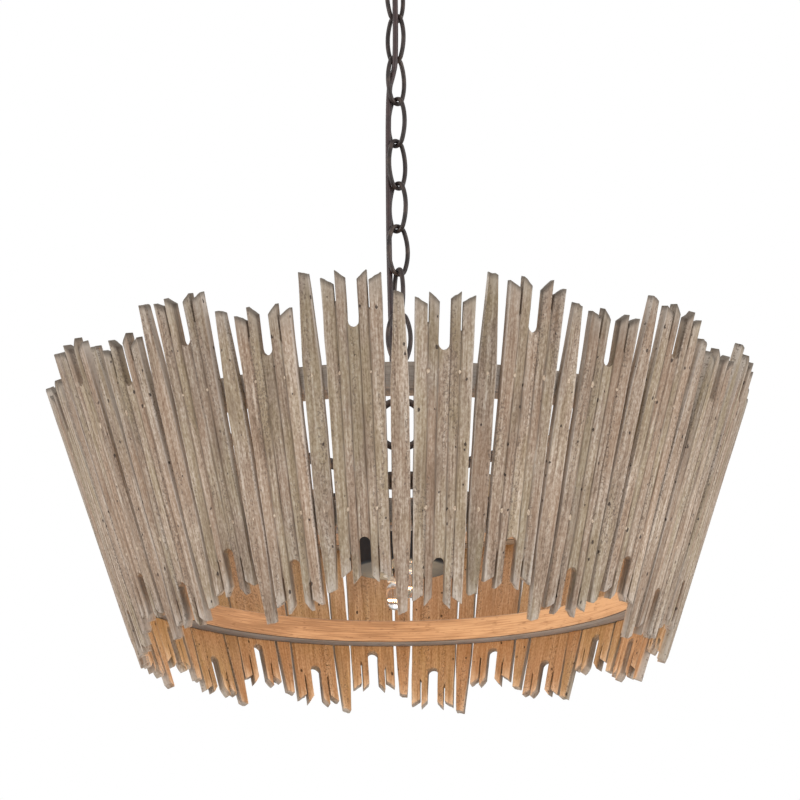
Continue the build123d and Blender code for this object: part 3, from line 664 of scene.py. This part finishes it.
# Each row lays one colour over the wood: by which mark, where that mark begins and is full, how thickly, and the
# colour itself.
for share, low, high, most, code in (
    (wood_raw, 0.0, 1.0, 0.45, "856b4b"),
    (rose_share, 0.2, 0.45, 0.36, "98775c"),
    (moss_share, 0.22, 0.46, 0.34, "93845f"),
    (wood_marks["stain"], 0.55, 0.72, 0.55, "705b49"),
    (wear_share, 0.1, 0.5, 0.5, "aca195"),
    # Bleached lower ends, and board edges painted paler as painted light.
    (fade_and_edge_light_share, 0.3, 0.55, 0.45, "cfc5bb"),
    (wood_wear, 0.82, 0.97, 0.7, "4d453c"),
    (grit_share, 0.5, 0.66, 0.65, "615145"),
    # Grime and painted shade in and beside the grooves.
    (grime_and_shade_share, 0.12, 0.5, 0.6, "4d3d31"),
    (pit_share, 0.0, 0.8, 0.9, "372a23"),
):
    share = add_node(
        weathered_wood, "ShaderNodeMapRange",
        {"Value": share, "From Min": low, "From Max": high, "To Max": most},
    ).outputs["Result"]
    wood_colour = add_node(
        weathered_wood, "ShaderNodeMix", {"Factor": share, 6: wood_colour, 7: srgb(code)}, data_type="RGBA"
    ).outputs[2]
wood_height = add_node(
    weathered_wood, "ShaderNodeMath", {0: wood_lines, 1: pit_share}, operation="SUBTRACT"
).outputs["Value"]
wood_bump = add_node(
    weathered_wood, "ShaderNodeBump", {"Height": wood_height, "Strength": 0.85, "Distance": 0.8 * MM}
).outputs["Normal"]
wood_rough = add_node(
    weathered_wood, "ShaderNodeMapRange", {"Value": wood_lines, "To Min": 0.95, "To Max": 0.75}
).outputs["Result"]
set_surface(weathered_wood, {"Base Color": wood_colour, "Roughness": wood_rough, "Normal": wood_bump})


def finish_board(name, boards):
    """Makes finished boards one piece of the shade, with softened edges."""
    piece = add_piece(name, boards, weathered_wood)
    edges = piece.modifiers.new("worn_edges", "BEVEL")
    edges.width = board_edge
    edges.segments = 2
    edges.limit_method = "ANGLE"
    edges.angle_limit = board_corner
    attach(piece, "fixture")
    return piece


def panel_lines(half):
    """Where the columns of a panel stand, from its left edge to its right edge."""
    kerf = finger_line * 2 * half
    inner = (notch_half + groove_half, kerf - kerf_half)
    outer = (kerf + kerf_half, half)
    right = [notch_half / 2, notch_half - groove_half, notch_half]
    right += [inner[0] + share / 3 * (inner[1] - inner[0]) for share in range(4)]
    right.append(kerf)
    right += [outer[0] + share / 4 * (outer[1] - outer[0]) for share in range(5)]
    return [-place for place in reversed(right)] + [0] + right


def finger_drops(lines, seed):
    """How far each column's end stands short of the panel's longest finger. Fingers slant to the notch."""
    half = lines[-1]
    kerf = finger_line * 2 * half
    drops = []
    for line in lines:
        place = abs(line)
        finger = math.copysign(2.7 if place > kerf else 1.3, line)
        cut = 1 + wander(seed, finger, 0.3, 0.7)
        slope = 1 + 0.4 * wander(seed, finger, 6.1, 2.9)
        if place > kerf:
            drops.append(finger_step * cut + outer_slant * slope * (half - place) / (half - kerf))
        else:
            drops.append(inner_step * cut + inner_slant * slope * (kerf - place) / (kerf - notch_half))
    return drops


def cut_slot(panel, columns, ends, slot_end, way, round_half):
    """Cuts a slot from the top end, or from the bottom end where way is -1, between two columns. It ends in a
    half round of the given radius, or where that is zero, at the nearest row."""
    column_layer = panel.verts.layers.int["column"]
    row_layer = panel.verts.layers.int["row"]
    bottom, top = ends
    last_row = round((slot_end + way * round_half / 2 - bottom) / (top - bottom) * board_rows)
    for vert in panel.verts:
        if round_half and columns[0] <= vert[column_layer] <= columns[1] and vert[row_layer] == last_row:
            rise = round_half - math.sqrt(max(0, round_half**2 - vert.co.x**2))
            vert.co.y = slot_end + way * rise
    waste = [
        face for face in panel.faces
        if min(vert[column_layer] for vert in face.verts) >= columns[0]
        and max(vert[column_layer] for vert in face.verts) <= columns[1]
        and min(way * vert[row_layer] for vert in face.verts) >= way * last_row
    ]
    bmesh.ops.delete(panel, geom=waste, context="FACES")


notch_column, kerf_column = 3, 8
for index in range(bay_count):
    place = board_place((index + 0.5) * bay_angle)
    node = f"panel_{index + 1:02d}"
    seed = index + 1
    corners = [place.inverted() @ vert.co for vert in frame["nodes"][node].data.vertices]
    ends = (min(corner.y for corner in corners), max(corner.y for corner in corners))
    half_way = sum(ends) / 2
    bottom_half = max(corner.x for corner in corners if corner.y < half_way)
    top_half = max(corner.x for corner in corners)
    notch_ends = [corner.y for corner in corners if abs(corner.x) < notch_half - 2 * groove_half]
    lines = (panel_lines(bottom_half), panel_lines(top_half))
    panel = bmesh.new()
    sheet_grid(panel, lines, ends, (finger_drops(lines[0], seed + 0.5), finger_drops(lines[1], seed)))
    middle = len(lines[0]) // 2
    notch = (middle - notch_column, middle + notch_column)
    kerfs = (middle - kerf_column, middle + kerf_column)
    cut_slot(panel, notch, ends, min(end for end in notch_ends if end > half_way), 1, notch_half)
    cut_slot(panel, notch, ends, max(end for end in notch_ends if end < half_way), -1, notch_half)
    for kerf in kerfs:
        for way in (-1, 1):
            depth = kerf_depth * (1 + kerf_spread * wander(seed, kerf, way * 0.7, 3.3))
            cut_slot(panel, (kerf - 1, kerf + 1), ends, ends[way > 0] - way * depth, way, 0)
    weather(panel, seed, lines[1], (*kerfs, *notch))
    bmesh.ops.transform(panel, matrix=place, verts=panel.verts)
    piece = finish_board(node + "_hewn", panel)
    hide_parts(node)

# Slats: narrow single boards of the same wood between the panels, sawn to a taper at both ends. One brad holds
# each slat to each hoop, and one slat stands low and the next one high.
slat_half = 7.1 * MM
slat_end_halves = (3.5 * MM, 3.7 * MM)
slat_tapers = (60 * MM, 70 * MM)
slat_slant = 1 * MM
slat_columns = 6
slat_zone = 12 * MM
slat_seed = 41
for name, first in (("slats_low", 0), ("slats_high", 1)):
    slats = bmesh.new()
    node_corners = [vert.co for vert in frame["nodes"][name].data.vertices]
    for index in range(first, bay_count, 2):
        place = board_place(index * bay_angle)
        inverse = place.inverted()
        corners = [inverse @ corner for corner in node_corners]
        heights = [corner.y for corner in corners if abs(corner.x) < slat_zone and abs(corner.z) < slat_zone]
        ends = (min(heights), max(heights))
        lines = [slat_half * (2 * column / slat_columns - 1) for column in range(slat_columns + 1)]
        sides = [line / slat_half for line in lines]
        slant = [slat_slant * (1 + wander(index, side, 1.7, 4.4)) * (1 + side) for side in sides]
        slat = bmesh.new()
        sheet_grid(slat, (lines, lines), ends, (slant, slant))
        for vert in slat.verts:
            distances = (vert.co.y - ends[0], ends[1] - vert.co.y)
            half = slat_half
            for distance, end_half, taper in zip(distances, slat_end_halves, slat_tapers):
                half -= (slat_half - end_half) * max(0, 1 - distance / taper)
            vert.co.x *= half / slat_half
        weather(slat, index + slat_seed, lines, ())
        bmesh.ops.transform(slat, matrix=place, verts=slat.verts)
        loose = bpy.data.meshes.new("slat")
        slat.to_mesh(loose)
        slat.free()
        slats.from_mesh(loose)
        bpy.data.meshes.remove(loose)
    piece = finish_board(name + "_hewn", slats)
    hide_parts(name)

# Filler spots: each brad is sunk in its board and closed with a dab of pale filler paste, wiped nearly flat by
# hand. No two dabs are alike. The dry paste is matte, cloudy and a little grainy.
filler_height = 0.25 * MM
filler_sink = 0.75 * MM
filler_radius = 1.15 * MM
filler_grain = 1.5 * MM
brad_share = 0.28
brad_levels = ((10 * MM, 39.5 * MM), (108 * MM, 43.1 * MM))
filler_paste = new_material("pale_wood_filler")
filler_place = add_node(filler_paste, "ShaderNodeTexCoord").outputs["Object"]
filler_clouds = add_node(
    filler_paste, "ShaderNodeTexNoise", {"Vector": filler_place, "Scale": 1 / filler_grain, "Detail": 3.0}
).outputs["Fac"]
filler_colour = add_node(
    filler_paste, "ShaderNodeValToRGB", {"Fac": filler_clouds}, stops=((0.35, "ab937c"), (0.65, "d2bfa9"))
).outputs["Color"]
filler_bump = add_node(
    filler_paste, "ShaderNodeBump", {"Height": filler_clouds, "Strength": 0.5, "Distance": 0.3 * MM}
).outputs["Normal"]
set_surface(filler_paste, {"Base Color": filler_colour, "Roughness": 0.85, "Normal": filler_bump})
spots = bmesh.new()
for index in range(2 * bay_count):
    place = board_place(index * bay_angle / 2)
    for rise, width in brad_levels:
        reach = brad_share * width
        for across in ((-reach, reach) if index % 2 else (0,)):
            seed = index + rise * 3.7 + across * 91
            size = filler_radius * (1 + 0.8 * wander(3, seed, 1.5, 0.5))
            tall = 1.4 + 0.7 * wander(4, seed, 2.5, 0.5)
            dab = bmesh.ops.create_uvsphere(spots, u_segments=9, v_segments=5, radius=1)["verts"]
            bmesh.ops.scale(spots, vec=(size, size * tall, filler_height), verts=dab)
            for vert in dab:
                vert.co.xy *= 1 + 0.5 * wander(5, seed, vert.co.x / MM, vert.co.y / MM)
            bmesh.ops.translate(spots, vec=(across, rise / math.cos(wall_angle), -filler_sink), verts=dab)
            bmesh.ops.transform(spots, matrix=place, verts=dab)
piece = add_piece("filler_spots", spots, filler_paste)
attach(piece, "fixture")
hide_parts("hoop_brads")

# Lamp pan and its cover: a spun steel cup and a pressed lid, held on the stem by nuts. Both are sprayed with a
# dark slate satin paint, which has a soft sheen and hardly any mottling.
pan_mottle = 12 * MM
pan_paint = new_material("dark_slate_paint")
pan_place = add_node(pan_paint, "ShaderNodeTexCoord").outputs["Object"]
pan_clouds = add_node(
    pan_paint, "ShaderNodeTexNoise", {"Vector": pan_place, "Scale": 1 / pan_mottle, "Detail": 4.0}
).outputs["Fac"]
pan_colour = add_node(
    pan_paint, "ShaderNodeValToRGB", {"Fac": pan_clouds}, stops=((0.3, "15181d"), (0.7, "20242a"))
).outputs["Color"]
pan_bump = add_node(
    pan_paint, "ShaderNodeBump", {"Height": pan_clouds, "Strength": 0.2, "Distance": 0.1 * MM}
).outputs["Normal"]
set_surface(pan_paint, {"Base Color": pan_colour, "Metallic": 0.2, "Roughness": 0.5, "Normal": pan_bump})
dress(pan_paint, "lamp_pan", "pan_cover")

# Sockets and leads: pressed ceramic bodies under the pan, and leads in smooth white sleeving. The ceramic is white
# with a soft gloss and a faint speckle, drawn at 1.2 mm, coarser than the real one, so that it shows.
ceramic_speck = 1.2 * MM
ceramic = new_material("white_ceramic")
ceramic_place = add_node(ceramic, "ShaderNodeTexCoord").outputs["Object"]
ceramic_specks = add_node(
    ceramic, "ShaderNodeTexNoise", {"Vector": ceramic_place, "Scale": 1 / ceramic_speck, "Detail": 2.0}
).outputs["Fac"]
ceramic_colour = add_node(
    ceramic, "ShaderNodeValToRGB", {"Fac": ceramic_specks}, stops=((0.3, "d8d3c8"), (0.6, "efece4"))
).outputs["Color"]
ceramic_bump = add_node(
    ceramic, "ShaderNodeBump", {"Height": ceramic_specks, "Strength": 0.2, "Distance": 0.1 * MM}
).outputs["Normal"]
set_surface(ceramic, {"Base Color": ceramic_colour, "Roughness": 0.35, "Normal": ceramic_bump})
dress(ceramic, "lamp_sockets", "lamp_leads")

# Bulbs: two small capsules of clear, faintly wavy glass, each on a ceramic foot with two push-in pins. The coiled
# filament glows a warm white, and a small lamp inside it gives the light that it sheds, so glass and coil cast no
# shadow. The white ceramic so close to it is left out of that light, because it would clip to white.
bulb_count = 2
bulb_radius = 7.5 * MM
bulb_length = 24 * MM
foot_size = (5 * MM, 12.5 * MM, 5 * MM)
foot_edge = 0.6 * MM
pin_spread = 9 * MM
pin_radius = 0.7 * MM
pin_length = 6 * MM
filament_radius = 0.25 * MM
filament_coil = 0.8 * MM
filament_length = 10 * MM
filament_turns = 8
filament_steps = 80
filament_rise = 8 * MM
glass_wave = 4 * MM
foot_shading = math.radians(40)
glow_watts = 1.0
bulb_shade = bpy.data.collections.new("bulb_shade")
bulb_shade.objects.link(frame["nodes"]["lamp_sockets"])
bulb_glass = new_material("clear_bulb_glass")
glass_place = add_node(bulb_glass, "ShaderNodeTexCoord").outputs["Object"]
glass_waves = add_node(
    bulb_glass, "ShaderNodeTexNoise", {"Vector": glass_place, "Scale": 1 / glass_wave, "Detail": 1.0}
).outputs["Fac"]
glass_bump = add_node(
    bulb_glass, "ShaderNodeBump", {"Height": glass_waves, "Strength": 0.1, "Distance": 0.1 * MM}
).outputs["Normal"]
set_surface(bulb_glass, {"Transmission Weight": 1.0, "Roughness": 0.03, "IOR": 1.5, "Normal": glass_bump})
glow_wire = new_material("glowing_filament")
set_surface(
    glow_wire,
    {"Base Color": srgb("ffb066"), "Emission Color": srgb("ffd9a8"), "Emission Strength": 8.0, "Roughness": 0.5},
)
for number in range(1, bulb_count + 1):
    node = f"bulb_{number}"
    low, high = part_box(node)
    axis = (low + high) / 2
    turn = Matrix.Rotation(math.atan2(axis.y, axis.x), 4, "Z")
    glass = bmesh.new()
    bmesh.ops.create_uvsphere(glass, u_segments=28, v_segments=16, radius=bulb_radius)
    upper = [vert for vert in glass.verts if vert.co.z > running_gap]
    bmesh.ops.translate(glass, vec=(0, 0, bulb_length - 2 * bulb_radius), verts=upper)
    bmesh.ops.translate(glass, vec=(axis.x, axis.y, low.z + bulb_radius), verts=glass.verts)
    piece = add_piece(node + "_glass", glass, bulb_glass)
    piece.visible_shadow = False
    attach(piece, node)
    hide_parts(node)

    foot = bmesh.new()
    bmesh.ops.create_cube(foot, size=1)
    bmesh.ops.scale(foot, vec=foot_size, verts=foot.verts)
    bmesh.ops.bevel(
        foot, geom=foot.edges, offset=foot_edge, segments=2, profile=0.5, affect="EDGES", material=-1
    )
    bmesh.ops.translate(foot, vec=(0, 0, foot_size[2] / 2), verts=foot.verts)
    for side in (-1, 1):
        pin = bmesh.ops.create_cone(
            foot, cap_ends=True, segments=12, radius1=pin_radius, radius2=pin_radius, depth=pin_length
        )["verts"]
        pin_middle = (0, side * pin_spread / 2, foot_size[2] + pin_length / 2)
        bmesh.ops.translate(foot, vec=pin_middle, verts=pin)
    bmesh.ops.transform(
        foot, matrix=Matrix.Translation((axis.x, axis.y, low.z + bulb_length)) @ turn, verts=foot.verts
    )
    piece = add_piece(node + "_foot", foot, ceramic)
    piece.data.set_sharp_from_angle(angle=foot_shading)
    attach(piece, node)
    bulb_shade.objects.link(piece)

    coil = bmesh.new()
    ring = bmesh.ops.create_circle(coil, segments=6, radius=filament_radius)["verts"]
    bmesh.ops.translate(coil, vec=(filament_coil, -filament_length / 2, 0), verts=ring)
    bmesh.ops.spin(
        coil, geom=coil.verts[:] + coil.edges[:], cent=(0, 0, 0), axis=(0, 1, 0),
        dvec=(0, filament_length / filament_steps, 0), angle=filament_turns * math.tau, steps=filament_steps,
    )
    bmesh.ops.holes_fill(coil, edges=[edge for edge in coil.edges if edge.is_boundary], sides=0)
    bmesh.ops.recalc_face_normals(coil, faces=coil.faces)
    bmesh.ops.transform(
        coil, matrix=Matrix.Translation((axis.x, axis.y, low.z + filament_rise)) @ turn, verts=coil.verts
    )
    piece = add_piece(node + "_filament", coil, glow_wire)
    piece.visible_shadow = False
    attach(piece, node)

    lamp = bpy.data.lights.new(node + "_glow", "POINT")
    lamp.energy = glow_watts
    lamp.color = srgb("ffcb8c")[:3]
    lamp.shadow_soft_size = filament_coil
    lamp_object = bpy.data.objects.new(node + "_glow", lamp)
    bpy.context.scene.collection.objects.link(lamp_object)
    lamp_object.location = (axis.x, axis.y, low.z + filament_rise)
    lamp_object.visible_glossy = False
    lamp_object.visible_transmission = False
    lamp_object.light_linking.receiver_collection = bulb_shade
    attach(lamp_object, node)
for shaded in bulb_shade.collection_objects:
    shaded.light_linking.link_state = "EXCLUDE"

# Room: a plain matte pale floor well below the shade, which keeps its shadow and fades into a white surround, and
# three large soft lamps. The surround is white to the eye and in gloss and glass, and lights the object at a
# plain level.
floor_z = -4.4
floor_half = 12
floor_fade = (1.0, 3.5)
surround_level = 0.7
floor_mesh = bmesh.new()
bmesh.ops.create_grid(floor_mesh, x_segments=1, y_segments=1, size=floor_half)
bmesh.ops.translate(floor_mesh, vec=(0, 0, floor_z), verts=floor_mesh.verts)
floor_paint = new_material("pale_floor")
set_surface(floor_paint, {"Base Color": srgb("efeeec"), "Roughness": 0.9})
floor_place = add_node(floor_paint, "ShaderNodeTexCoord").outputs["Object"]
floor_flat = add_node(
    floor_paint, "ShaderNodeVectorMath", {0: floor_place, 1: (1, 1, 0)}, operation="MULTIPLY"
).outputs["Vector"]
floor_reach = add_node(
    floor_paint, "ShaderNodeVectorMath", {0: floor_flat}, operation="LENGTH"
).outputs["Value"]
floor_white = add_node(
    floor_paint, "ShaderNodeMapRange",
    {"Value": floor_reach, "From Min": floor_fade[0], "From Max": floor_fade[1]},
    interpolation_type="SMOOTHSTEP",
).outputs["Result"]
floor_seen = add_node(floor_paint, "ShaderNodeLightPath").outputs["Is Camera Ray"]
floor_white = add_node(
    floor_paint, "ShaderNodeMath", {0: floor_white, 1: floor_seen}, operation="MULTIPLY"
).outputs["Value"]
floor_glow = add_node(floor_paint, "ShaderNodeEmission", {"Color": srgb("ffffff"), "Strength": 1.0})
floor_surface = add_node(
    floor_paint, "ShaderNodeMixShader",
    {
        "Fac": floor_white,
        1: floor_paint.node_tree.nodes["Principled BSDF"].outputs["BSDF"],
        2: floor_glow.outputs["Emission"],
    },
).outputs["Shader"]
fill_sockets(floor_paint, floor_paint.node_tree.nodes["Material Output"], {"Surface": floor_surface})
floor_data = bpy.data.meshes.new("floor")
floor_mesh.to_mesh(floor_data)
floor_mesh.free()
floor_data.materials.append(floor_paint)
floor = bpy.data.objects.new("floor", floor_data)
bpy.context.scene.collection.objects.link(floor)
floor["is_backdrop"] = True

world = bpy.data.worlds.new("white_studio")
world.use_nodes = True
bpy.context.scene.world = world
studio_light = world.node_tree.nodes["Background"]
fill_sockets(world, studio_light, {"Color": srgb("ffffff"), "Strength": surround_level})
white_light = add_node(world, "ShaderNodeBackground", {"Color": srgb("ffffff"), "Strength": 1.0})
path = add_node(world, "ShaderNodeLightPath").outputs
seen = add_node(
    world, "ShaderNodeMath", {0: path["Is Camera Ray"], 1: path["Is Glossy Ray"]}, operation="MAXIMUM"
).outputs["Value"]
seen = add_node(
    world, "ShaderNodeMath", {0: seen, 1: path["Is Transmission Ray"]}, operation="MAXIMUM"
).outputs["Value"]
surround = add_node(
    world, "ShaderNodeMixShader",
    {"Fac": seen, 1: studio_light.outputs["Background"], 2: white_light.outputs["Background"]},
).outputs["Shader"]
fill_sockets(world, world.node_tree.nodes["World Output"], {"Surface": surround})

shade_rise = 60 * MM
shade_middle = Vector((0, 0, shade_z + shade_rise))
lamp_size = 2.0
for name, place, watts in (
    ("key_lamp", (2.9, -2.1, -0.3), 61.0),
    ("fill_lamp", (-3.1, -1.6, -0.3), 54.0),
    ("back_lamp", (-0.5, 2.8, 1.4), 26.0),
):
    lamp = bpy.data.lights.new(name, "AREA")
    lamp.energy = watts
    lamp.size = lamp_size
    lamp_object = bpy.data.objects.new(name, lamp)
    lamp_object.location = place
    lamp_object.rotation_euler = (shade_middle - Vector(place)).to_track_quat("-Z", "Y").to_euler()
    bpy.context.scene.collection.objects.link(lamp_object)

# Camera: it stands in front of the shade and below it, and looks up at it with a long lens. Its place, tilt and
# lens were fitted to the ellipses of the hoops and of the board tips, and its roll to the level of the shade.
camera_distance = 2.286
camera_drop = 0.5086
camera_tilt = 16.49
camera_pitch = math.radians(90 + camera_tilt)
camera_roll = math.radians(-0.7)
lens_length = 124.86
sensor_width = 36.0
camera_data = bpy.data.cameras.new("camera")
camera_data.lens = lens_length
camera_data.sensor_width = sensor_width
camera = bpy.data.objects.new("camera", camera_data)
bpy.context.scene.collection.objects.link(camera)
camera.location = (0, -camera_distance, shade_z - camera_drop)
camera.rotation_euler = (
    Matrix.Rotation(camera_pitch, 3, "X") @ Matrix.Rotation(camera_roll, 3, "Z")
).to_euler()
bpy.context.scene.camera = camera
bpy.context.scene.view_settings.view_transform = "Standard"

bpy.context.view_layer.update()
sizes = {"cad": [list(corner) for corner in cad_box], "visual": [list(corner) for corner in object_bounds()]}
